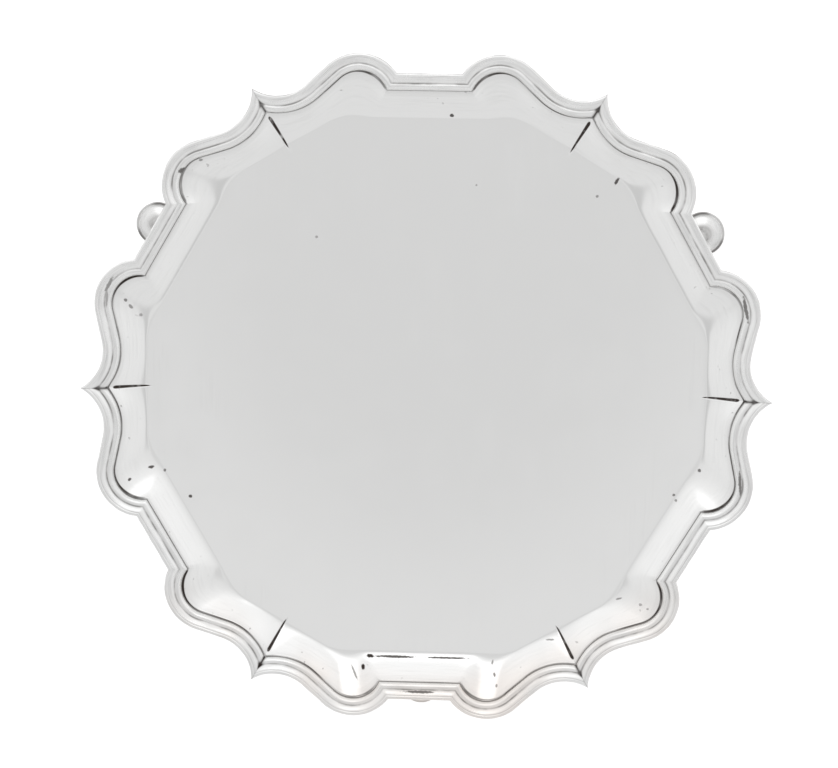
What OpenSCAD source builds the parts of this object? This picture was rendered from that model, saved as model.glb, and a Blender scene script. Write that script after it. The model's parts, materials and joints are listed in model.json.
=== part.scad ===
// Six-lobed silver salver: a raised tray plate, a cast border in six mitred sections and three pad feet.
// Origin: centre of the plane that the pads stand on. +Z up, a border point on +X, one foot on -Y.

/* [Salver] */
// Width across two opposite border points
across_points = 305; // [303:0.5:308]
// Height from the table to the top of the border
overall_height = 35; // [32:0.5:40]
// Thickness of the sheet that the tray plate is raised from
sheet_t = 1.1; // [0.9:0.05:1.4]

/* [Border outline] */
// Distance from the centre to the outer edge of a straight
straight_apothem = 139.5; // [138.5:0.25:140]
// Length of each straight along its outer edge
straight_length = 28; // [26:0.5:30]
// Radius of the lobe beside each straight
lobe_r = 20; // [19:0.25:20.5]
// Angle at which a lobe leaves the straight
lobe_rise = 54; // [52:0.5:56]
// Radius of the hollow that runs out to each point
hollow_r = 19.5; // [18:0.25:20]
// Half of the angle at each point
point_half_angle = 28; // [26:0.5:30]

/* [Border moulding] */
// Width of the moulding in plan
border_w = 7.4; // [6.8:0.1:8]
// Height of the moulding's top above the tray lip
border_h = 4.2; // [3.6:0.1:5]
// Width of the tray lip that the moulding laps over
lap_w = 3; // [2:0.1:3.5]

/* [Tray] */
// Distance from the centre to the floor's edge behind a straight
floor_flat = 120.3; // [118:0.1:121.5]
// Distance from the centre to the floor's edge behind a point
floor_point_flat = 124.3; // [122:0.1:126]
// Half-length, along the floor's edge, of the panel behind a straight
panel_half = 25; // [22:0.5:28]
// Rise from the floor to the tray lip
booge_rise = 8; // [6:0.25:10]
// Softness of the bend at the floor's edge, as a share of the slope's run
booge_bend = 0.25; // [0.1:0.01:0.4]

/* [Feet] */
// Distance from the centre to the middle of each pad
pad_at = 142.5; // [140:0.5:146]
// Radius of the round pad
pad_r = 9.9; // [8.5:0.1:11]
// Thickness of the pad at its middle
pad_t = 2.8; // [2.2:0.1:3.2]

/* [Hidden] */
LOBES = 6;
SECTOR = 360 / LOBES;
HALF = SECTOR / 2;
FOOT_ANGLES = [30, 150, 270];
STRAIGHT_STEPS = 3;
LOBE_STEPS = 6;
HOLLOW_STEPS = 4;
CORNER_ROUND = 3;
BOOGE_STEPS = 5;
LEG_SIDES = 16;
FLOOR_LAP = 3;
CUT_INNER = 100;
CUT_HALF = 15;
CUT_TOP = overall_height + 10;
SILVER = [0.80, 0.81, 0.82];
CAST_SILVER = [0.74, 0.75, 0.76];

lip_z = overall_height - border_h;
floor_z = lip_z - booge_rise;

// ---- Outline of the border ----
// The local frame of one sixth has X outward through the middle of a straight and Y along the straight.

function dir(a) = [cos(a), sin(a)];
function mix(a, b, f) = a + (b - a) * f;
function turn(p, a) = [p.x * cos(a) - p.y * sin(a), p.x * sin(a) + p.y * cos(a)];
function angle_of(p) = atan2(p.y, p.x);

point_tip = across_points / 2 * dir(HALF);
lobe_c = [straight_apothem, straight_length / 2] + lobe_r * dir(180 - lobe_rise);
hollow_c = point_tip + hollow_r * dir(HALF + point_half_angle - 90);
hollow_along = hollow_c * dir(HALF);
hollow_off = cross(dir(HALF), hollow_c);

// Direction, seen from the lobe's centre, of the line tangent to both the lobe and the hollow
join_a = angle_of(hollow_c - lobe_c) - acos((lobe_r + hollow_r) / norm(hollow_c - lobe_c));

// Where the outline set in by d turns from the straight into the lobe, and where its hollow meets the ray
// through the border point
function corner(d) = [
    straight_apothem - d,
    lobe_c.y - sqrt(pow(lobe_r - d, 2) - pow(straight_apothem - d - lobe_c.x, 2)),
];
function apex(d) = (hollow_along - sqrt(pow(hollow_r + d, 2) - pow(hollow_off, 2))) * dir(HALF);

function straight_half(d) = [
    for (i = [0:STRAIGHT_STEPS - 1]) [straight_apothem - d, corner(d).y * i / STRAIGHT_STEPS]
];
function lobe_arc(d) = [
    for (i = [0:LOBE_STEPS])
        lobe_c + (lobe_r - d) * dir(mix(angle_of(corner(d) - lobe_c), join_a, i / LOBE_STEPS))
];
function hollow_arc(d) = [
    for (i = [0:HOLLOW_STEPS])
        hollow_c + (hollow_r + d) * dir(mix(join_a + 180, angle_of(apex(d) - hollow_c), i / HOLLOW_STEPS))
];
function half_outline(d) = concat(straight_half(d), lobe_arc(d), hollow_arc(d));

// Points at one height; one sixth, from point to point, from its half; and all six sixths as one closed loop
function at_height(points, z) = [for (p = points) [p.x, p.y, z]];
function sixth(half) = let (last = len(half) - 1) concat(
    [for (i = [last:-1:1]) [half[i].x, -half[i].y, half[i].z]],
    half
);
function whole(half) = [
    for (s = [0:LOBES - 1]) let (part = sixth(half))
        for (i = [0:len(part) - 2]) [each turn(part[i], s * SECTOR + HALF), part[i].z]
];

// ---- Tray surface between the floor and the lip ----
// The slope runs from the floor's edge, a rounded twelve-sided line, up to the seam along the border.

seam_half = half_outline(border_w);
panel_end = [floor_flat, panel_half];
corner_y = (floor_point_flat - floor_flat * cos(HALF)) / sin(HALF);
lobe_end = [floor_flat, corner_y - CORNER_ROUND];

// The point straight in from p on the floor's edge, which there lies square to the ray through a border point
function inward_of(p) = p + (floor_point_flat - p * dir(HALF)) * dir(HALF);

floor_half = concat(
    [for (i = [0:STRAIGHT_STEPS - 1]) [floor_flat, panel_half * i / STRAIGHT_STEPS]],
    [for (i = [0:LOBE_STEPS]) mix(panel_end, lobe_end, i / LOBE_STEPS)],
    [for (p = hollow_arc(border_w)) inward_of(p)]
);

// Direction out from the floor up the slope: the straight's, then swinging across the lobe to the point's
outward_half = concat(
    [for (i = [0:STRAIGHT_STEPS - 1]) dir(0)],
    [for (i = [0:LOBE_STEPS]) dir(HALF * i / LOBE_STEPS)],
    [for (i = [0:HOLLOW_STEPS]) dir(HALF)]
);

bend_drop = sqrt(1 + pow(booge_bend, 2)) - booge_bend;
function lift(t) = (sqrt(t * t + pow(booge_bend, 2)) - booge_bend) / bend_drop;
function lift_slope(t) = t / sqrt(t * t + pow(booge_bend, 2)) / bend_drop;

function upper_point(foot, seam, t) = [each mix(foot, seam, t), floor_z + booge_rise * lift(t)];

// The upper point moved down and out by the sheet's thickness, square to the slope
function lower_point(foot, seam, outward, t) = let (
    pitch = atan(booge_rise * lift_slope(t) / ((seam - foot) * outward)),
    out = t < 1 ? sin(pitch) : tan(pitch / 2),
    down = t < 1 ? cos(pitch) : 1
) upper_point(foot, seam, t) + sheet_t * [each outward * out, -down];

booge_fractions = [for (i = [0:BOOGE_STEPS]) pow(i / BOOGE_STEPS, 1.4)];
function reversed(list) = [for (i = [len(list) - 1:-1:0]) list[i]];

// ---- Solids ----

// Skin over closed loops with equal numbers of points: capped at both ends, or joined end to end as a ring
module skin(loops, ring = false) {
    n = len(loops);
    m = len(loops[0]);
    sides = [
        for (i = [0:ring ? n - 1 : n - 2], j = [0:m - 1])
            let (a = i * m, b = (i + 1) % n * m, k = (j + 1) % m)
                each [[a + j, b + j, b + k], [a + j, b + k, a + k]]
    ];
    caps = ring ? [] : [[for (j = [0:m - 1]) j], [for (j = [m - 1:-1:0]) (n - 1) * m + j]];
    polyhedron([for (loop = loops) each loop], concat(sides, caps));
}

// Raised tray plate: flat floor, sloping booge and the narrow lip that carries the border
module tray_plate() {
    last = len(seam_half) - 1;
    edge = half_outline(border_w - lap_w);
    under = [
        for (t = booge_fractions)
            whole([for (i = [0:last]) lower_point(floor_half[i], seam_half[i], outward_half[i], t)])
    ];
    upper = [
        for (t = reversed(booge_fractions))
            whole([for (i = [0:last]) upper_point(floor_half[i], seam_half[i], t)])
    ];
    lip = [for (z = [lip_z - sheet_t, lip_z]) whole(at_height(edge, z))];
    inner_half = [for (p = floor_half) (floor_flat - FLOOR_LAP) * p / norm(p)];
    inner = [for (z = [floor_z, floor_z - sheet_t]) whole(at_height(inner_half, z))];
    color(SILVER) union() {
        skin(concat(under, lip, upper, inner), ring = true);
        translate([0, 0, floor_z - sheet_t]) cylinder(r = floor_flat - FLOOR_LAP / 2, h = sheet_t, $fn = 180);
    }
}

// Cross-section of the cast moulding: distance in from the outer edge, and height above the tray lip
function moulding_profile() = [
    [0, border_h - 1.2],
    [0.15, border_h - 0.4],
    [0.6, border_h],
    [1.5, border_h - 0.05],
    [1.8, border_h - 0.25],
    [2.2, border_h - 0.27],
    [2.9, border_h - 0.55],
    [3.8, border_h - 1.15],
    [4.4, border_h - 1.7],
    [5, border_h - 1.45],
    [5.9, border_h - 1.48],
    [6.7, border_h - 2],
    [border_w, 0.45],
    [border_w, 0],
    [border_w - lap_w, 0],
    [border_w - lap_w, -sheet_t],
    [2.2, 0.6],
    [0.8, 1.9],
];

// One cast border section, from point to point, with a mitred end at each
module border_section(angle) {
    profile = moulding_profile();
    lines = [for (p = reversed(profile)) sixth(at_height(half_outline(p.x), lip_z + p.y))];
    loops = [for (i = [0:len(lines[0]) - 1]) [for (line = lines) line[i]]];
    color(CAST_SILVER) rotate(angle) skin(loops);
}

// Space above the underside of the tray behind one straight, used to fit a foot's leg to it
module above_tray() {
    line = [for (t = booge_fractions) lower_point(floor_half[0], seam_half[0], outward_half[0], t)];
    end_x = line[BOOGE_STEPS].x;
    profile = concat([[CUT_INNER, CUT_TOP], [end_x, CUT_TOP]],
        [for (p = reversed(line)) [p.x, p.z]], [[CUT_INNER, floor_z - sheet_t]]);
    skin([for (y = [-CUT_HALF, CUT_HALF]) [for (p = profile) [p.x, y, p.y]]]);
}

// Leg stations: distance in from the pad's middle, height, half-width towards the centre, half-width across
function leg_stations() = [
    [0.4, pad_t - 1, 5.2, 5.2],
    [0.6, pad_t + 0.2, 3.8, 3.8],
    [1.1, 4.8, 2.8, 2.9],
    [2.4, 8.5, 2.8, 3.1],
    [5, 12.5, 3.8, 4.5],
    [9.2, 16.3, 5.4, 6.3],
    [14.4, 20, 6.6, 7.9],
    [18.6, 24.3, 7, 9],
    [20.8, 29, 7.2, 9.4],
];

// Cast leg, swelling from a slim ankle on the pad to a broad knee under the booge
module leg() {
    loops = [
        for (s = leg_stations())
            [for (i = [0:LEG_SIDES - 1]) let (a = i * 360 / LEG_SIDES)
                [pad_at - s[0] + s[2] * cos(a), s[3] * sin(a), s[1]]]
    ];
    difference() {
        skin(loops);
        above_tray();
    }
}

// Round pad with a flat underside and a softened edge
module pad() {
    rotate_extrude($fn = 96)
        polygon([
            [0, 0], [pad_r - 0.9, 0], [pad_r - 0.25, 0.3], [pad_r, 1], [pad_r - 0.25, 1.6],
            [pad_r - 0.9, 1.9], [pad_r - 1.6, 1.7], [4.2, pad_t - 0.3], [0, pad_t],
        ]);
}

module foot(angle) {
    color(CAST_SILVER) rotate(angle) union() {
        translate([pad_at, 0, 0]) pad();
        leg();
    }
}

tray_plate();
border_section(HALF);  // border_section_1
border_section(HALF + SECTOR);  // border_section_2
border_section(HALF + 2 * SECTOR);  // border_section_3
border_section(HALF + 3 * SECTOR);  // border_section_4
border_section(HALF + 4 * SECTOR);  // border_section_5
border_section(HALF + 5 * SECTOR);  // border_section_6
foot(FOOT_ANGLES[0]);  // foot_back_right
foot(FOOT_ANGLES[1]);  // foot_back_left
foot(FOOT_ANGLES[2]);  // foot_front
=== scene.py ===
"""Looks of a lobed silver salver: raised tray, cast moulded border and pad feet.

Every node of the model is replaced by a finer mesh of the same shape. The floor is pale and the light soft.
"""

import json
import math

import bpy
import numpy as np
from mathutils import Matrix, Vector


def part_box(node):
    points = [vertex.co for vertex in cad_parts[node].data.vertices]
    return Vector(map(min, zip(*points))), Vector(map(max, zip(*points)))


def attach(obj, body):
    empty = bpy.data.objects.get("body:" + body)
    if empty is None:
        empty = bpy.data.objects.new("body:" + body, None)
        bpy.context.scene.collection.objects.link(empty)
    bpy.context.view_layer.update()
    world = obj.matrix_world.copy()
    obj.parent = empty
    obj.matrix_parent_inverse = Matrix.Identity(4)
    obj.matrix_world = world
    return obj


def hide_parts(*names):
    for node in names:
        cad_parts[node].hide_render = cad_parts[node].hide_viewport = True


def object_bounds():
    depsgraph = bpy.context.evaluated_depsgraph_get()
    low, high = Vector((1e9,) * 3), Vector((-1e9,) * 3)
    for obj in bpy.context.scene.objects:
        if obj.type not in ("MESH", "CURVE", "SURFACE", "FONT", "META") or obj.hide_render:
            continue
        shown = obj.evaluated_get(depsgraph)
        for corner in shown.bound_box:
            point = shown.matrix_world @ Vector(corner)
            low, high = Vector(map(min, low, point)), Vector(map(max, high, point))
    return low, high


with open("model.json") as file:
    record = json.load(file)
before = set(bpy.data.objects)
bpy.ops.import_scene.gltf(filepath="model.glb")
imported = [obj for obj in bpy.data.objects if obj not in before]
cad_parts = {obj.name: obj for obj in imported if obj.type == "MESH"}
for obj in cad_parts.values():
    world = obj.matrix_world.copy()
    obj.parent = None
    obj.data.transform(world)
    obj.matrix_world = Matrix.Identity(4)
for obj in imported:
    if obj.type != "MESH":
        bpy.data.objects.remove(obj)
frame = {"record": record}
CAD_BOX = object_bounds()

# ---- Sizes, in metres unless a name says otherwise ----

MM = 0.001
LOBES = 6
SECTOR = 2 * math.pi / LOBES
TIP_R = (CAD_BOX[1].x - CAD_BOX[0].x) / 2
RIM_Z = CAD_BOX[1].z
TABLE_Z = CAD_BOX[0].z
LIP_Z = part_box("tray_plate")[1].z
FLOOR_Z = next(m for m in frame["record"]["mounts"] if m["name"] == "serving_floor")["pos_m"][2]
SHEET_T = FLOOR_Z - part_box("tray_plate")[0].z

# The border's outline, as the model draws it. LOBE_RISE is the angle at which a lobe leaves the straight.
STRAIGHT_APOTHEM = 139.5 * MM
STRAIGHT_HALF = 14 * MM
LOBE_R = 20 * MM
LOBE_RISE = math.radians(54)
HOLLOW_R = 19.5 * MM
POINT_HALF_ANGLE = math.radians(28)
BORDER_W = 7.4 * MM
LAP_W = 3 * MM
# The floor's edge: its distance behind a straight and behind a point, and half the panel behind a straight
FLOOR_FLAT = 120.3 * MM
FLOOR_POINT_FLAT = 124.3 * MM
PANEL_HALF = 25 * MM
CORNER_ROUND = 3 * MM
# Softness of the bend at the floor's edge, as a share of the slope's run
BOOGE_BEND = 0.25

FOOT_NODES = ("foot_back_right", "foot_back_left", "foot_front")


def unit(angle):
    return np.array([math.cos(angle), math.sin(angle)])


def angle_of(v):
    return math.atan2(v[1], v[0])


def turned(points, angle):
    """Points, as rows of x, y and maybe z, turned about +Z."""
    c, s = math.cos(angle), math.sin(angle)
    out = np.array(points, float)
    out[..., 0] = points[..., 0] * c - points[..., 1] * s
    out[..., 1] = points[..., 0] * s + points[..., 1] * c
    return out


def smoothstep(a, b, x):
    t = np.clip((x - a) / (b - a), 0, 1)
    return t * t * (3 - 2 * t)


def bump(x, width):
    """A rounded bump of height 1 and about the given half-width."""
    return np.exp(-((x / width) ** 2))


# ---- Outline: a straight, a lobe, a hollow and a point, mirrored about the straight's middle ----

POINT = TIP_R * unit(SECTOR / 2)
LOBE_C = np.array([STRAIGHT_APOTHEM, STRAIGHT_HALF]) + LOBE_R * unit(math.pi - LOBE_RISE)
HOLLOW_C = POINT + HOLLOW_R * unit(SECTOR / 2 + POINT_HALF_ANGLE - math.pi / 2)
# Direction from the lobe's centre to where it runs over into the hollow
JOIN_A = angle_of(HOLLOW_C - LOBE_C)
JOIN_A -= math.acos((LOBE_R + HOLLOW_R) / np.linalg.norm(HOLLOW_C - LOBE_C))
# Steps along each part of half a sixth, and the powers that crowd them towards the corner and the point
STRAIGHT_STEPS, LOBE_STEPS, RUN_STEPS, HOLLOW_STEPS = 10, 26, 3, 26
LOBE_CROWDING, HOLLOW_CROWDING = 1.2, 1.7


def corner(d):
    """Where the outline set in by d turns from the straight into the lobe."""
    x = STRAIGHT_APOTHEM - d
    return np.array([x, LOBE_C[1] - math.sqrt((LOBE_R - d) ** 2 - (x - LOBE_C[0]) ** 2)])


def apex(d):
    """Where the outline set in by d meets the ray through the point."""
    ray = unit(SECTOR / 2)
    off = ray[0] * HOLLOW_C[1] - ray[1] * HOLLOW_C[0]
    return (HOLLOW_C @ ray - math.sqrt((HOLLOW_R + d) ** 2 - off**2)) * ray


def half_outline(d):
    """Half a sixth of the outline set in by d, from the straight's middle to the point."""
    turn_in, end = corner(d), apex(d)
    straight = [turn_in * (1, i / STRAIGHT_STEPS) for i in range(STRAIGHT_STEPS)]
    a0 = angle_of(turn_in - LOBE_C)
    shares = [(i / LOBE_STEPS) ** LOBE_CROWDING for i in range(LOBE_STEPS + 1)]
    lobe = [LOBE_C + (LOBE_R - d) * unit(a0 + (JOIN_A - a0) * s) for s in shares]
    b0, b1 = JOIN_A + math.pi, angle_of(end - HOLLOW_C)
    shares = [1 - (1 - i / HOLLOW_STEPS) ** HOLLOW_CROWDING for i in range(HOLLOW_STEPS + 1)]
    hollow = [HOLLOW_C + (HOLLOW_R + d) * unit(b0 + (b1 - b0) * s) for s in shares]
    run = [lobe[-1] + (hollow[0] - lobe[-1]) * i / RUN_STEPS for i in range(1, RUN_STEPS)]
    return np.array(straight + lobe + run + hollow)


def sixth(half):
    """The half and its mirror image: one border section, from point to point."""
    return np.concatenate([half[:0:-1] * (1, -1), half])


def whole(half):
    """The closed loop of all six sixths, counter-clockwise from the point on +X."""
    part = sixth(half)[:-1]
    return np.concatenate([turned(part, (i + 0.5) * SECTOR) for i in range(LOBES)])


def outline(d):
    return whole(half_outline(d))


# ---- Meshes ----


def path_length(points):
    """Distance to each point along the line through them."""
    step = np.linalg.norm(np.diff(points, axis=0), axis=1)
    return np.concatenate([[0], np.cumsum(step)])


def raised(points, z):
    return np.column_stack([points, np.broadcast_to(z, len(points))])


def make_mesh(name, verts, faces, masks=None, sharp_deg=40):
    """A smooth-shaded object. masks are per-vertex numbers that its material reads by name."""
    mesh = bpy.data.meshes.new(name)
    mesh.from_pydata([tuple(v) for v in verts], [], faces)
    mesh.validate()
    for key, values in (masks or {}).items():
        layer = mesh.attributes.new(key, "FLOAT", "POINT")
        layer.data.foreach_set("value", np.asarray(values, np.float32))
    mesh.shade_smooth()
    mesh.set_sharp_from_angle(angle=math.radians(sharp_deg))
    mesh.update()
    obj = bpy.data.objects.new(name, mesh)
    bpy.context.scene.collection.objects.link(obj)
    return obj


def loop_faces(n_loops, n):
    """Quads between successive closed loops of n points each."""
    return [
        (i * n + j, (i + 1) * n + j, (i + 1) * n + (j + 1) % n, i * n + (j + 1) % n)
        for i in range(n_loops - 1)
        for j in range(n)
    ]


# ---- Tray plate ----
# The slope, or booge, runs from the floor's edge, a rounded twelve-sided line, up to the seam
# along the border.

RISE = LIP_Z - FLOOR_Z
SEAM = outline(BORDER_W)
BEND_DROP = math.sqrt(1 + BOOGE_BEND**2) - BOOGE_BEND


def lift(t):
    """Height of the booge at share t of its run, as a share of its rise."""
    return (np.sqrt(t**2 + BOOGE_BEND**2) - BOOGE_BEND) / BEND_DROP


def lift_slope(t):
    return t / np.sqrt(t**2 + BOOGE_BEND**2) / BEND_DROP


def floor_half():
    """The point of the floor's edge that lies below each point of the seam, for half a sixth."""
    ray = unit(SECTOR / 2)
    corner_y = (FLOOR_POINT_FLAT - FLOOR_FLAT * ray[0]) / ray[1]
    n_lobe = STRAIGHT_STEPS + LOBE_STEPS + 1
    straight = [(FLOOR_FLAT, PANEL_HALF * i / STRAIGHT_STEPS) for i in range(STRAIGHT_STEPS)]
    lobe = [(FLOOR_FLAT, y) for y in np.linspace(PANEL_HALF, corner_y - CORNER_ROUND, LOBE_STEPS + 1)]
    hollow = half_outline(BORDER_W)[n_lobe + RUN_STEPS - 1 :]
    hollow = hollow + np.outer(FLOOR_POINT_FLAT - hollow @ ray, ray)
    run = [lobe[-1] + (hollow[0] - lobe[-1]) * i / RUN_STEPS for i in range(1, RUN_STEPS)]
    return np.array([*straight, *lobe, *run, *hollow])


def outward_half():
    """Direction out from the floor up the slope, for half a sixth."""
    lobe = np.linspace(0, 1, LOBE_STEPS + 1)
    turns = np.concatenate([np.zeros(STRAIGHT_STEPS), lobe, np.ones(RUN_STEPS + HOLLOW_STEPS)])
    return np.column_stack([np.cos(turns * SECTOR / 2), np.sin(turns * SECTOR / 2)])


def softened(loop, width):
    """A closed loop of points with its bends rounded over about the given length."""
    along = path_length(np.concatenate([loop, loop[:1]]))
    grid = np.linspace(0, along[-1], 4096, endpoint=False)
    per_metre = np.fft.rfftfreq(len(grid), d=along[-1] / len(grid))
    keep = np.exp(-2 * (math.pi * per_metre * width) ** 2)
    out = []
    for values in loop.T:
        even = np.interp(grid, along, np.append(values, values[0]))
        smooth = np.fft.irfft(np.fft.rfft(even) * keep, len(grid))
        out.append(np.interp(along[:-1], grid, smooth, period=along[-1]))
    return np.array(out).T


FOLD_ROUND = 1.2 * MM
SLOPE_ROUND = 2.6 * MM
HAMMERING = 0.03 * MM
HAMMER_SPACING = 14 * MM
FOOT_LINE = softened(whole(floor_half()), FOLD_ROUND)
OUTWARD = whole(outward_half())
SOFT_SEAM = softened(SEAM, SLOPE_ROUND)


def waves(points, length, seed, count=7):
    """A gentle random unevenness between about -1 and 1, with ripples of about the given length."""
    rng = np.random.default_rng(seed)
    total = np.zeros(len(points))
    for _ in range(count):
        way = unit(rng.uniform(0, 2 * math.pi)) * 2 * math.pi / (length * rng.uniform(0.7, 1.6))
        total += np.sin(points[:, :2] @ way + rng.uniform(0, 2 * math.pi))
    return total / math.sqrt(count)


def booge_loop(t):
    """The booge's upper surface at share t of the way up the slope; t may differ from point to point."""
    t = np.broadcast_to(t, len(SEAM))
    top = SOFT_SEAM + (SEAM - SOFT_SEAM) * smoothstep(0.3, 1, t)[:, None]
    plan = FOOT_LINE + (top - FOOT_LINE) * t[:, None]
    hammered = waves(plan, HAMMER_SPACING, seed=3) * HAMMERING
    hammered = hammered * smoothstep(0, 0.3, t) * (1 - smoothstep(0.8, 1, t))
    return np.column_stack([plan, FLOOR_Z + RISE * lift(t) + hammered])


def under_loop(t):
    """The underside at share t: the upper surface moved by the sheet's thickness, square to its slope."""
    points = booge_loop(t)
    pitch = np.arctan(RISE * lift_slope(t) / np.sum((SEAM - FOOT_LINE) * OUTWARD, axis=1))
    out = np.sin(pitch) if t < 1 else np.tan(pitch / 2)
    down = np.cos(pitch) if t < 1 else np.ones(len(pitch))
    points[:, :2] += OUTWARD * (SHEET_T * out)[:, None]
    points[:, 2] -= SHEET_T * down
    return points


CREASE_LEN = 17 * MM
CREASE_GAP = 2 * MM
CREASE_DEPTH = 0.25 * MM
CREASE_W = 0.66 * MM


def crease(points):
    """How deep each point lies, 0 to 1, in the tapering crease that runs in from each border point."""
    r = np.linalg.norm(points[:, :2], axis=1)
    a = (np.arctan2(points[:, 1], points[:, 0]) + SECTOR / 2) % SECTOR - SECTOR / 2
    start = np.linalg.norm(apex(BORDER_W)) - CREASE_GAP
    along = np.clip((start - r) / CREASE_LEN, -1, 2)
    ends = smoothstep(-0.02, 0.06, along) * (1 - smoothstep(0.75, 1.0, along))
    width = CREASE_W * (1.1 - 0.7 * np.clip(along, 0, 1))
    return np.exp(-((r * a / width) ** 2)) * ends


# How dark the seam is on each straight, from the one at 30 degrees round
STRAIGHT_SEAMS = (0.85, 0.25, 0.5, 0.6, 0.55, 0.6)


def seam_mark_width():
    """Width of the dark line beside the seam: broad in the lobes beside a straight, thin on the hollows."""
    lobe = np.linspace(0, 1, LOBE_STEPS + 1)
    straight = np.full(STRAIGHT_STEPS, 0.1)
    lobe = 0.25 + 0.7 * smoothstep(0.0, 0.15, lobe) * (1 - smoothstep(0.35, 0.9, lobe))
    hollow = 0.25 + 0.45 * smoothstep(0.75, 1, np.linspace(0, 1, RUN_STEPS + HOLLOW_STEPS))
    half = np.concatenate([straight, lobe, hollow])
    return np.tile(np.concatenate([half[:0:-1], half])[:-1], LOBES) * MM


def seam_strength():
    """Darkness of that line at each point of the seam, from 0 to 1."""
    lobe = smoothstep(0, 0.12, np.linspace(0, 1, LOBE_STEPS + 1))
    half = np.concatenate([np.zeros(STRAIGHT_STEPS), lobe, np.ones(RUN_STEPS + HOLLOW_STEPS)])
    part = np.concatenate([half[:0:-1], half])[:-1]
    return np.concatenate([dark + (1 - dark) * part for dark in STRAIGHT_SEAMS])


# Loops of points: distances in from the seam, shares of the way out over the floor, and loops up the slope
SEAM_RINGS = [x * MM for x in (1.7, 1.4, 1.15, 0.95, 0.75, 0.6, 0.45, 0.32, 0.2, 0.1)]
FLOOR_SHARES = [0.006, 0.03, 0.08, 0.16, 0.25, 0.35, 0.45, 0.55]
FLOOR_SHARES += [0.64, 0.72, 0.79, 0.85, 0.9, 0.94, 0.97, 0.985]
SLOPE_LOOPS = 24
UPPER_CROWDING, UNDER_CROWDING = 1.25, 1.2
SEAM_GROOVE = 0.2 * MM
EDGE_SOFTENING = 0.12 * MM
# The slope's width in millimetres, for the streaks that follow the border
SLOPE_SPAN = 14


def upper_loops():
    """Loops over the tray's top and on beneath the border, each with its distance from the seam."""
    inward = SEAM - outline(BORDER_W + 0.01 * MM)
    inward /= np.linalg.norm(inward, axis=1)[:, None]
    depth = np.sum((SEAM - FOOT_LINE) * inward, axis=1)
    loops = [(raised(FOOT_LINE * s, FLOOR_Z), np.full(len(SEAM), 1.0)) for s in FLOOR_SHARES]
    first = 1 - SEAM_RINGS[0] / depth.min()
    for share in np.linspace(0, 1, SLOPE_LOOPS) ** UPPER_CROWDING:
        loops.append((booge_loop(share * first * 0.99), np.full(len(SEAM), 1.0)))
    for inside in SEAM_RINGS:
        loop = booge_loop(1 - inside / depth)
        loop[:, 2] -= SEAM_GROOVE * bump(inside - SEAM_GROOVE, SEAM_GROOVE)
        loops.append((loop, np.full(len(SEAM), inside)))
    for loop, _ in loops:
        loop[:, 2] -= CREASE_DEPTH * crease(loop)
    loops.append((raised(outline(BORDER_W - 0.1 * MM), LIP_Z - 0.1 * MM), np.zeros(len(SEAM))))
    loops.append((raised(outline(BORDER_W - 0.5 * MM), LIP_Z), np.zeros(len(SEAM))))
    return loops


def make_tray():
    n = len(SEAM)
    upper = upper_loops()
    edge = outline(BORDER_W - LAP_W)
    low_floor = FLOOR_Z - SHEET_T
    heights = (LIP_Z, LIP_Z - 0.2 * MM, LIP_Z - SHEET_T + 0.2 * MM, LIP_Z - SHEET_T)
    lip = [raised(edge, z) for z in heights]
    under = [under_loop(t) for t in np.linspace(1, 0, SLOPE_LOOPS) ** UNDER_CROWDING]
    under += [raised(FOOT_LINE * s, low_floor) for s in reversed(FLOOR_SHARES)]
    loops = [loop for loop, _ in upper] + lip + under
    verts = np.concatenate([*loops, [(0, 0, FLOOR_Z), (0, 0, low_floor)]])
    faces = loop_faces(len(loops), n)
    top_pole, low_pole, last = len(verts) - 2, len(verts) - 1, (len(loops) - 1) * n
    faces += [(top_pole, j, (j + 1) % n) for j in range(n)]
    faces += [(low_pole, last + (j + 1) % n, last + j) for j in range(n)]
    is_upper = np.concatenate([np.ones(n * len(upper)), np.zeros(n * (len(lip) + len(under))), [1, 0]])
    inside = np.concatenate([gap for _, gap in upper])
    # Dark line beside the seam: tarnish together with painted shade of the joint.
    width = np.tile(seam_mark_width(), len(upper))
    seam = np.zeros(len(verts))
    seam[: len(inside)] = 1 - smoothstep(width - EDGE_SOFTENING, width + EDGE_SOFTENING, inside)
    seam[: len(inside)] *= np.tile(seam_strength(), len(upper))
    rise_share = (verts[:, 2] - FLOOR_Z) / RISE
    masks = {
        "crease": crease(verts) * is_upper,
        "seam": seam,
        "below": 1 - is_upper,
        "booge": np.clip(rise_share, 0, 1) * is_upper,
        "across": (1 - rise_share) * SLOPE_SPAN,
        "along": np.append(np.tile(path_length(SEAM), len(loops)), (0, 0)) / MM,
    }
    return make_mesh("tray", verts, faces, masks)


# ---- Border ----

# Upper face of the moulding: distance in from the outer edge and drop below the rim's top, in millimetres
MOULDING = [
    (0.0, 1.2), (0.03, 0.7), (0.22, 0.28), (0.6, 0.05), (1.1, 0.0), (1.5, 0.06), (1.75, 0.22), (1.9, 0.26),
    (2.1, 0.25), (2.6, 0.4), (3.2, 0.72), (3.75, 1.1), (4.1, 1.42), (4.32, 1.6), (4.5, 1.62), (4.75, 1.55),
    (5.2, 1.47), (5.7, 1.5), (6.2, 1.65), (6.65, 1.96), (7.0, 2.5), (7.25, 3.1), (7.37, 3.6), (7.4, 4.05),
]
# Underside: the same, from the seam's foot out to the edge
UNDERSIDE = [
    (7.4, 4.2), (4.4, 4.2), (4.4, 5.3), (3.6, 4.75), (2.7, 4.1), (1.8, 3.3), (1.0, 2.45), (0.35, 1.8),
]
FINE_GROOVE, DEEP_GROOVE = 1.85, 4.42
MITRE_GAP = 0.012 * MM
MITRE_DROP = 0.12 * MM
# Added to the distance along each section in turn, so that no two have the same streaks
SECTION_OFFSET = 200


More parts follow.
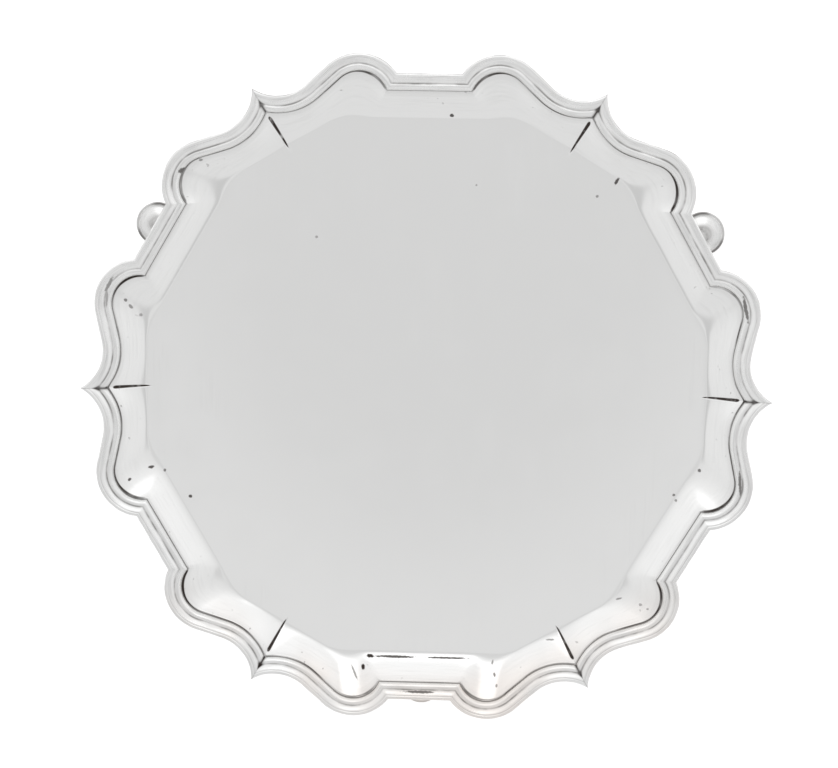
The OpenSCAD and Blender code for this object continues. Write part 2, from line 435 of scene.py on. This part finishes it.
def curve_through(points, steps):
    """Points on a smooth curve through the given ones."""
    p = np.array(points, float)
    p = np.concatenate([[2 * p[0] - p[1]], p, [2 * p[-1] - p[-2]]])
    out = []
    for a, b, c, d in zip(p, p[1:], p[2:], p[3:]):
        for i in range(steps):
            t = i / steps
            bend = (2 * a - 5 * b + 4 * c - d) * t**2 + (3 * b - a - 3 * c + d) * t**3
            out.append(0.5 * (2 * b + (c - a) * t + bend))
    return np.array(out + [p[-2]])


def make_border(index):
    """One cast section between two points; its ends drop a little at the mitre, as a filed joint does."""
    upper = curve_through(MOULDING, 3)
    profile = np.concatenate([upper, UNDERSIDE]) * MM
    lines = [sixth(half_outline(max(d, 0))) for d in profile[:, 0]]
    n, m = len(lines[0]), len(profile)
    verts = np.zeros((n, m, 3))
    for j, line in enumerate(lines):
        verts[:, j, :2] = line
        verts[:, j, 2] = RIM_Z - profile[j, 1]
    for end, side in ((0, 1), (-1, -1)):
        verts[end, :, :2] += unit(side * (math.pi - SECTOR) / 2) * MITRE_GAP
        verts[end, : len(upper), 2] -= MITRE_DROP
    flat = turned(verts.reshape(-1, 3), (index + 0.5) * SECTOR)
    faces = loop_faces(n, m)
    faces += [tuple(range(m)), tuple(range(n * m - 1, (n - 1) * m - 1, -1))]
    d = np.tile(profile[:, 0], n) / MM
    is_top = np.tile(np.arange(m) < len(upper), n)
    across = np.repeat(mitre_distance(lines[0]), m) / MM
    # Grooves: tarnish in the hollows together with painted shade.
    groove = 0.35 * bump(d - FINE_GROOVE, 0.18) + bump(d - DEEP_GROOVE, 0.38)
    # Mitres: a dark joint together with painted shade where the grooves meet.
    recess = bump(across, 0.9) * smoothstep(2.4, 4.2, d) + bump(across, 2.2) * bump(d - DEEP_GROOVE, 0.6)
    masks = {
        "groove": np.clip(groove, 0, 1) * is_top,
        "recess": np.clip(recess, 0, 1) * is_top,
        # Seam: tarnish in the joint together with painted shade where the border meets the tray.
        "seam": smoothstep(7.0, 7.4, d) * is_top,
        # Edge: a painted dark reflection along the outer edge.
        "edge": bump(d, 0.3) * is_top,
        "below": 1.0 - is_top,
        "across": d,
        "along": np.repeat(path_length(lines[0]), m) / MM + SECTION_OFFSET * index,
    }
    return make_mesh(f"border_{index + 1}", flat, faces, masks, sharp_deg=50)


def mitre_distance(line):
    """Distance along the outline from the nearer mitre."""
    along = path_length(line)
    return np.minimum(along, along[-1] - along)


# ---- Feet ----


def under_height(x):
    """Height of the tray's underside behind a straight, at distance x out from the tray's middle."""
    run = STRAIGHT_APOTHEM - BORDER_W - FLOOR_FLAT
    t = np.clip((x - FLOOR_FLAT) / run, 0, 1)
    return FLOOR_Z + RISE * lift(t) - SHEET_T / np.cos(np.arctan(RISE * lift_slope(t) / run))


# Pad section: radius and height above the table, in millimetres
PAD_SECTION = [
    (0.0, 0.12), (7.9, 0.12), (8.4, 0.0), (9.05, 0.03), (9.55, 0.3), (9.82, 0.75), (9.88, 1.2), (9.72, 1.62),
    (9.3, 1.86), (8.85, 1.8), (8.5, 1.55), (8.1, 1.5), (7.3, 1.66), (6.2, 1.98), (5.2, 2.35),
]
# Leg: distance in from the pad's middle, height, half-width towards the centre and half-width across,
# in millimetres
LEG = [
    (0.3, 2.65, 4.5, 4.5), (0.5, 3.15, 3.7, 3.7), (0.7, 3.9, 3.05, 3.05), (1.1, 5.0, 2.65, 2.75),
    (1.7, 6.6, 2.55, 2.8), (2.6, 8.6, 2.8, 3.2), (3.9, 10.8, 3.3, 3.9), (5.6, 13.0, 4.0, 4.7),
    (7.9, 15.2, 4.9, 5.7), (10.6, 17.3, 5.8, 6.7), (13.5, 19.5, 6.5, 7.6), (16.2, 22.0, 6.9, 8.5),
    (18.6, 25.0, 7.1, 9.1), (20.8, 29.0, 7.2, 9.4),
]
FOOT_SIDES = 56
# How far the leg's top reaches into the sheet, and the fillet of solder round it
EMBED = 0.35 * MM
FILLET_SWELL = 0.16
FILLET_H = 1.5 * MM


def foot_loops(pad_at):
    """Loops up the foot and in over its top, for a pad whose middle is at x = pad_at."""
    a = np.linspace(0, 2 * math.pi, FOOT_SIDES, endpoint=False)
    ring = np.column_stack([np.cos(a), np.sin(a)])
    loops = [raised((pad_at, 0) + ring * r * MM, TABLE_Z + z * MM) for r, z in PAD_SECTION[1:]]
    for inward, z, half_in, half_across in curve_through(LEG, 3):
        middle = pad_at - inward * MM
        x = middle + ring[:, 0] * half_in * MM
        y = ring[:, 1] * half_across * MM
        gap = np.maximum(under_height(x) - (TABLE_Z + z * MM), 0)
        fillet = 1 + FILLET_SWELL * bump(gap, FILLET_H)
        x, y = middle + (x - middle) * fillet, y * fillet
        loops.append(np.column_stack([x, y, np.minimum(TABLE_Z + z * MM, under_height(x) + EMBED)]))
    rim = loops[-1]
    middle = rim.mean(axis=0)
    for share in (0.75, 0.5, 0.25, 0.05):
        plan = middle[:2] + (rim[:, :2] - middle[:2]) * share
        loops.append(raised(plan, under_height(plan[:, 0]) + EMBED))
    return loops


def make_foot(node):
    pad = next(m for m in frame["record"]["mounts"] if m["name"] == node.replace("foot", "pad"))["pos_m"]
    pad_at, angle = math.hypot(pad[0], pad[1]), math.atan2(pad[1], pad[0])
    loops = foot_loops(pad_at)
    verts = np.concatenate([[[pad_at, 0, TABLE_Z + PAD_SECTION[0][1] * MM]], *loops])
    n, last = FOOT_SIDES, 1 + (len(loops) - 1) * FOOT_SIDES
    faces = [tuple(i + 1 for i in f[::-1]) for f in loop_faces(len(loops), n)]
    faces += [(0, 1 + (j + 1) % n, 1 + j) for j in range(n)]
    faces.append(tuple(last + j for j in range(n)))
    z = (verts[:, 2] - TABLE_Z) / MM
    r = np.hypot(verts[:, 0] - pad_at, verts[:, 1]) / MM
    solder = bump((under_height(verts[:, 0]) - verts[:, 2]) / MM, 0.5) * (z > 12)
    side = np.abs(np.arctan2(verts[:, 1], verts[:, 0] - pad_at))
    pad_rim = bump(r - 9.2, 0.8) * (z > 0.6) * (z < 2.5)
    masks = {
        "groove": np.zeros(len(verts)),
        # Dark solder where the leg meets the tray, and painted shade on the leg and its ankle under the
        # tray.
        "recess": np.clip(solder + 0.3 * bump(z - 3.1, 0.8) + 0.4 * smoothstep(2.4, 4, z), 0, 1),
        # A painted dark reflection round the pad's rim.
        "seam": 1.15 * pad_rim * (0.4 + 0.6 * smoothstep(0.6, 1.0, side)),
        # Tarnish together with painted shade, over the whole foot under the tray.
        "below": np.full(len(verts), 0.8),
        "across": z,
        "along": side * 6,
    }
    return make_mesh(node.replace("foot", "pad_foot"), turned(verts, angle), faces, masks, sharp_deg=60)


# ---- Materials ----


class Nodes:
    """Short calls for building the node tree of a material or the world."""

    def __init__(self, owner):
        owner.use_nodes = True
        self.owner = owner
        self.tree = owner.node_tree
        self.shader = self.tree.nodes.get("Principled BSDF")

    def add(self, kind, **settings):
        node = self.tree.nodes.new(kind)
        for key, value in settings.items():
            setattr(node, key, value)
        return node

    def link(self, source, target):
        self.tree.links.new(source, target)

    def put(self, target, value):
        if isinstance(value, bpy.types.NodeSocket):
            self.link(value, target)
        else:
            target.default_value = value

    def math(self, operation, a, b=0.0, clamp=False):
        node = self.add("ShaderNodeMath", operation=operation, use_clamp=clamp)
        self.put(node.inputs[0], a)
        self.put(node.inputs[1], b)
        return node.outputs[0]

    def ramp(self, value, low, high, to_low=0.0, to_high=1.0):
        node = self.add("ShaderNodeMapRange", interpolation_type="SMOOTHSTEP")
        for socket, number in zip(node.inputs[:5], (value, low, high, to_low, to_high)):
            self.put(socket, number)
        return node.outputs[0]

    def mask(self, name):
        return self.add("ShaderNodeAttribute", attribute_name=name).outputs["Fac"]

    def position(self, scale=(1, 1, 1), turn=0.0):
        coords = self.add("ShaderNodeTexCoord").outputs["Object"]
        node = self.add("ShaderNodeMapping")
        node.inputs["Scale"].default_value = scale
        node.inputs["Rotation"].default_value = (0, 0, turn)
        self.link(coords, node.inputs["Vector"])
        return node.outputs[0]

    def noise(self, scale, detail=3.0, where=None, roughness=0.5):
        node = self.add("ShaderNodeTexNoise")
        self.link(where or self.position(), node.inputs["Vector"])
        node.inputs["Scale"].default_value = scale
        node.inputs["Detail"].default_value = detail
        node.inputs["Roughness"].default_value = roughness
        return node.outputs[0]

    def mix(self, factor, a, b):
        node = self.add("ShaderNodeMix", data_type="RGBA")
        for socket, value in ((node.inputs[0], factor), (node.inputs[6], a), (node.inputs[7], b)):
            self.put(socket, value)
        return node.outputs[2]


# Dark colour for real tarnish, used also for painted shade and painted dark reflections.
TARNISH_AND_SHADE = (0.055, 0.045, 0.04, 1)
# Warm tint for a painted warm reflection on the front.
PAINTED_WARM_REFLECTION = (0.93, 0.885, 0.85, 1)
BRIGHT_SILVER = (0.935, 0.935, 0.93, 1)
WEAR_ROUGHNESS, TARNISH_ROUGHNESS = 0.06, 0.35
BUMP_STRENGTH, BUMP_DISTANCE = 0.25, 0.02 * MM


def scratches(n, turn, scale, low):
    """Fine straight wear lines in one direction."""
    lines = n.noise(scale, 2.0, n.position((1, 0.02, 1), turn))
    patches = n.noise(30, 2.0)
    return n.math("MULTIPLY", n.ramp(lines, low, low + 0.05), n.ramp(patches, 0.45, 0.62))


def silver(name, tarnish_and_shade, base_rough, marks=()):
    """Polished silver. The second argument, given the node builder, returns how dark a point is, from 0 to
    1: real tarnish together with painted shade and painted reflections.
    """
    n = Nodes(bpy.data.materials.new(name))
    dark = tarnish_and_shade(n)
    if marks:
        dark = n.math("MAXIMUM", dark, mark_mask(n, marks))
    split = n.add("ShaderNodeSeparateXYZ")
    coords = n.add("ShaderNodeTexCoord").outputs["Object"]
    n.link(coords, split.inputs[0])
    radius = n.add("ShaderNodeVectorMath", operation="LENGTH")
    n.link(coords, radius.inputs[0])
    # Painted warm reflection: patches on the outer part of the front are tinted warm.
    outer = n.ramp(radius.outputs["Value"], 0.128, 0.142)
    front = n.math("MULTIPLY", n.ramp(split.outputs[1], -0.07, -0.12), outer)
    warm_reflection = n.math("MULTIPLY", n.ramp(n.noise(22, 2.0), 0.35, 0.6), front)
    clean = n.mix(warm_reflection, BRIGHT_SILVER, PAINTED_WARM_REFLECTION)
    n.link(n.mix(dark, clean, TARNISH_AND_SHADE), n.shader.inputs["Base Color"])
    n.shader.inputs["Metallic"].default_value = 1.0
    wear = n.math("MAXIMUM", scratches(n, 0.5, 900, 0.6), scratches(n, 2.0, 1100, 0.61))
    haze = n.ramp(n.noise(60, 4.0), 0.3, 0.8, base_rough * 0.85, base_rough * 1.25)
    rough = n.math("ADD", haze, n.math("MULTIPLY", wear, WEAR_ROUGHNESS))
    rough = n.math("ADD", rough, n.math("MULTIPLY", dark, TARNISH_ROUGHNESS), clamp=True)
    n.link(rough, n.shader.inputs["Roughness"])
    bump_node = n.add("ShaderNodeBump")
    bump_node.inputs["Strength"].default_value = BUMP_STRENGTH
    bump_node.inputs["Distance"].default_value = BUMP_DISTANCE
    height = n.math("SUBTRACT", n.noise(2500, 3.0), n.math("MULTIPLY", wear, 0.6))
    n.link(n.math("SUBTRACT", height, n.math("MULTIPLY", dark, 2.0)), bump_node.inputs["Height"])
    n.link(bump_node.outputs[0], n.shader.inputs["Normal"])
    return n.owner


# Dark marks on the tray: x and y of the middle, direction in degrees, half-length, half-width and strength.
# Sizes are in millimetres. The first three are the dark line on the front bend, a painted reflection of the
# camera.
MARKS = [
    (-12, -122.9, 0, 12, 0.65, 0.9), (12, -122.9, 0, 12, 0.5, 0.9), (-23, -122.9, 0, 2, 1.0, 1.0),
    (-26, -127.6, 100, 1.6, 1.1, 1.0), (-30, -130, 117, 4.2, 0.6, 0.6), (82.2, 94.6, 62, 2.3, 0.8, 0.9),
    (9.7, 122, 0, 1.1, 0.9, 0.9), (59, -113, 5, 2.4, 0.5, 0.6), (-49, 68, 0, 0.8, 0.8, 0.5),
    (74, 88, 0, 0.8, 0.8, 0.6), (21, 92, 0, 0.6, 0.6, 0.4), (-105.5, -50.3, 0, 1, 0.9, 0.9),
    (-132, -42, 20, 1, 0.9, 0.9),
    (-123, -37, 10, 1.5, 0.8, 0.9), (-117, -38.5, 0, 0.8, 0.8, 0.7), (112.5, -44.5, 0, 0.8, 0.8, 0.7),
    (113.5, -47, 0, 0.8, 0.8, 0.6), (123.4, -33, 0, 1, 0.9, 0.8), (-133, 39, 130, 1, 0.8, 0.7),
    (-131, 36, 130, 1.4, 0.9, 0.6), (-127, 32, 0, 1, 0.9, 0.5), (-99, 101, 20, 1.2, 0.7, 0.6),
    (33, -124.5, 80, 1.6, 0.5, 0.6), (34, -129.5, 100, 1.4, 0.6, 0.7), (35, -134, 70, 0.9, 0.6, 0.6),
    (89.5, -93, 20, 1.8, 0.5, 0.6), (99, -94.5, 0, 0.9, 0.7, 0.5), (102, -96, 30, 0.8, 0.6, 0.5),
]


# The same on the border: places where its groove has gone black
BORDER_MARKS = [
    (139.2, 40.5, 103, 8, 0.9, 0.75), (140.1, -36.5, 95, 7.5, 0.85, 0.75), (-139, 46.5, 62, 5, 0.9, 0.6),
    (-106.8, 96.5, 30, 2.2, 1.2, 0.8), (-140.2, 40, 85, 5, 0.7, 0.5), (89.6, -103, 20, 1.8, 1.1, 0.8),
    (0, -135.9, 0, 9, 0.7, 0.8),
]


def mark_mask(n, marks):
    """Strength of the ragged dark marks at a point, from 0 to 1."""
    total = n.math("MULTIPLY", 0.0, 0.0)
    ragged = n.math("MULTIPLY", n.noise(900, 2.0), 0.9)
    coords = n.add("ShaderNodeTexCoord").outputs["Object"]
    for x, y, turn, half_length, half_width, strength in marks:
        place = n.add("ShaderNodeMapping", vector_type="TEXTURE")
        place.inputs["Location"].default_value = (x * MM, y * MM, FLOOR_Z)
        place.inputs["Rotation"].default_value = (0, 0, math.radians(turn))
        place.inputs["Scale"].default_value = (half_length * MM, half_width * MM, 1)
        n.link(coords, place.inputs["Vector"])
        length = n.add("ShaderNodeVectorMath", operation="LENGTH")
        n.link(place.outputs[0], length.inputs[0])
        spot = n.ramp(n.math("ADD", length.outputs["Value"], ragged), 1.45, 1.0, 0.0, strength)
        total = n.math("MAXIMUM", total, spot)
    return n.math("MULTIPLY", total, n.math("SUBTRACT", 1.0, n.mask("below")))


def streaks(n, low, high, strength):
    """Faint darker streaks that follow the border."""
    join = n.add("ShaderNodeCombineXYZ")
    n.put(join.inputs[0], n.math("MULTIPLY", n.mask("across"), 0.8))
    n.put(join.inputs[1], n.math("MULTIPLY", n.mask("along"), 0.06))
    return n.ramp(n.noise(1.0, 3.0, join.outputs[0], 0.6), low, high, 0.0, strength)


def tray_tarnish_and_shade(n):
    """Dark in the seam and creases, as tarnish together with painted shade of the joint and the fold;
    speckled and streaked on the slope, and darker towards its top; dull beneath.
    """
    # Seam line: tarnish together with painted shade of the joint.
    seam = n.math("MULTIPLY", n.mask("seam"), n.ramp(n.noise(45, 3.0), 0.35, 0.6, 0.25, 1.0))
    patchy = n.ramp(n.noise(300, 3.0), 0.25, 0.5, 0.6, 1.0)
    # Creases: tarnish together with painted shade of the fold.
    crease_mark = n.math("MULTIPLY", n.ramp(n.mask("crease"), 0.15, 0.5), patchy)
    speckle = n.math("MULTIPLY", n.ramp(n.noise(420, 4.0), 0.68, 0.74, 0.0, 0.5), n.mask("booge"))
    # Darker towards the top of the slope, with faint streaks.
    slope_darkening = n.math("ADD", n.ramp(n.mask("booge"), 0.7, 1.0, 0.0, 0.1), streaks(n, 0.42, 0.8, 0.05))
    slope_darkening = n.math("MULTIPLY", slope_darkening, n.ramp(n.mask("booge"), 0.02, 0.3))
    under = n.math("MULTIPLY", n.mask("below"), n.ramp(n.noise(25, 5.0), 0.35, 0.8, 0.0, 0.25))
    marks = n.math("MAXIMUM", n.math("MAXIMUM", seam, crease_mark), n.math("MAXIMUM", speckle, under))
    return n.math("MAXIMUM", marks, slope_darkening)


def cast_tarnish_and_shade(n):
    """Dark in the grooves, mitres and seam, as tarnish together with painted shade; a painted dark
    reflection along the outer edge; streaked along the moulding; dull beneath. The feet use the same masks
    for painted shade and a painted dark reflection.
    """
    patchy = n.ramp(n.noise(90, 4.0), 0.35, 0.65, 0.15, 0.65)
    groove = n.math("ADD", n.math("MULTIPLY", n.mask("groove"), patchy), streaks(n, 0.4, 0.75, 0.16))
    # Painted dark reflection along the outer edge, in patches.
    patchy_edge_reflection = n.ramp(n.noise(120, 2.0), 0.35, 0.6, 0.1, 0.5)
    groove = n.math("ADD", groove, n.math("MULTIPLY", n.mask("edge"), patchy_edge_reflection))
    recess = n.math("MULTIPLY", n.mask("recess"), n.ramp(n.noise(200, 2.0), 0.3, 0.7, 0.75, 1.0))
    seam = n.math("MULTIPLY", n.mask("seam"), 0.75)
    under = n.math("MULTIPLY", n.mask("below"), n.ramp(n.noise(60, 5.0), 0.4, 0.8, 0.0, 0.3))
    return n.math("MAXIMUM", n.math("MAXIMUM", groove, recess), n.math("MAXIMUM", seam, under))


def dress(piece, material, node):
    """Give a piece its material, hang it from the root body and hide the node it takes the place of."""
    piece.data.materials.append(material)
    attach(piece, "root")
    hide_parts(node)


# ---- Stage, lights and camera ----

FLOOR_REACH = 6.0
FLOOR_GREYS = ((0.90, 0.90, 0.90, 1), (0.93, 0.93, 0.93, 1))
FLOOR_GLOW = 0.42


def make_floor():
    corners = ((-1, -1), (1, -1), (1, 1), (-1, 1))
    verts = [(x * FLOOR_REACH, y * FLOOR_REACH, TABLE_Z) for x, y in corners]
    floor = make_mesh("floor", verts, [(0, 1, 2, 3)])
    n = Nodes(bpy.data.materials.new("pale_floor"))
    n.link(n.mix(n.noise(3, 2.0), *FLOOR_GREYS), n.shader.inputs["Base Color"])
    n.shader.inputs["Roughness"].default_value = 0.7
    n.shader.inputs["Emission Color"].default_value = (1, 1, 1, 1)
    n.shader.inputs["Emission Strength"].default_value = FLOOR_GLOW
    floor.data.materials.append(n.owner)


def make_panel(name, place, size, radiance):
    """A flat soft light that faces the object; radiance is how bright it looks in a mirror."""
    light = bpy.data.lights.new(name, "AREA")
    light.shape = "RECTANGLE"
    light.size, light.size_y = size
    light.energy = radiance * math.pi * size[0] * size[1]
    obj = bpy.data.objects.new(name, light)
    obj.location = place
    obj.rotation_euler = (Vector((0, 0, RIM_Z)) - Vector(place)).to_track_quat("-Z", "Y").to_euler()
    bpy.context.scene.collection.objects.link(obj)


# Direction of the bright round patch at the back of the tent: its y and z
GLOW_AT = (0.56, 0.83)


def make_world(level, overhead, back, side, flanks, glow):
    """A light tent of one grey level. The other numbers are radiances added to it.

    overhead: the dimmer patch round the camera. flanks: two dim patches beside it.
    back, side: the lit back and sides. glow: a brighter round patch half-way up the back.
    """
    n = Nodes(bpy.data.worlds.new("tent"))
    split = n.add("ShaderNodeSeparateXYZ")
    n.link(n.add("ShaderNodeTexCoord").outputs["Generated"], split.inputs[0])
    x, y, z = split.outputs
    out = n.math("ABSOLUTE", x)
    wide = n.math("POWER", n.math("DIVIDE", n.math("ADD", x, 0.02), 0.155), 2.0)
    deep = n.math("POWER", n.math("DIVIDE", n.math("ADD", y, 0.04), 0.21), 2.0)
    flank = n.math("MULTIPLY", n.ramp(out, 0.18, 0.28), n.ramp(out, 0.62, 0.45))
    flank = n.math("MULTIPLY", flank, n.math("MULTIPLY", n.ramp(y, 0.0, -0.12), n.ramp(y, -0.55, -0.4)))
    near_glow = n.math("ADD", n.math("MULTIPLY", y, GLOW_AT[0]), n.math("MULTIPLY", z, GLOW_AT[1]))
    terms = (
        n.ramp(n.math("ADD", wide, deep), 1.35, 0.7, 0.0, overhead),
        n.ramp(y, -0.1, 0.7, 0.0, back),
        n.ramp(out, 0.35, 0.9, 0.0, side),
        n.math("MULTIPLY", flank, flanks),
        n.ramp(near_glow, 0.93, 0.985, 0.0, glow),
    )
    total = n.math("ADD", level, 0.0)
    for term in terms:
        total = n.math("ADD", total, term)
    background = n.tree.nodes["Background"]
    background.inputs["Color"].default_value = (1, 1, 1, 1)
    n.link(total, background.inputs["Strength"])
    bpy.context.scene.world = n.owner


def make_camera(tilt_x_deg, tilt_y_deg, roll_deg, aim_x, aim_y, distance, lens):
    """A camera above the rim that leans from the vertical by the tilts and looks beside the middle."""
    x, y = math.sin(math.radians(tilt_x_deg)), math.sin(math.radians(tilt_y_deg))
    back = Vector((x, y, math.sqrt(1 - x * x - y * y)))
    up = (Vector((0, 1, 0)) - back * y).normalized()
    right = up.cross(back)
    c, s = math.cos(math.radians(roll_deg)), math.sin(math.radians(roll_deg))
    right, up = c * right + s * up, c * up - s * right
    camera = bpy.data.objects.new("camera", bpy.data.cameras.new("camera"))
    camera.data.lens = lens
    camera.data.clip_start, camera.data.clip_end = 0.01, 50
    place = Vector((0, 0, RIM_Z)) + back * distance + right * aim_x + up * aim_y
    camera.matrix_world = Matrix.Translation(place) @ Matrix((right, up, back)).transposed().to_4x4()
    bpy.context.scene.collection.objects.link(camera)
    bpy.context.scene.camera = camera


# ---- The scene ----

bpy.context.scene.view_settings.view_transform = "Standard"
make_camera(
    tilt_x_deg=1.8, tilt_y_deg=8.8, roll_deg=0.95, aim_x=-2.2 * MM, aim_y=5.2 * MM, distance=0.747, lens=73
)
make_world(level=0.77, overhead=-0.075, back=0.2, side=0.06, flanks=-0.16, glow=0.32)
make_panel("key", place=(0.0, 1.05, 1.08), size=(1.2, 0.9), radiance=0.04)
make_floor()

sheet_silver = silver("sheet_silver", tray_tarnish_and_shade, 0.13, MARKS)
dress(make_tray(), sheet_silver, "tray_plate")
border_silver = silver("border_silver", cast_tarnish_and_shade, 0.27, BORDER_MARKS)
for i in range(LOBES):
    dress(make_border(i), border_silver, f"border_section_{i + 1}")
foot_silver = silver("foot_silver", cast_tarnish_and_shade, 0.2)
for foot in FOOT_NODES:
    dress(make_foot(foot), foot_silver, foot)
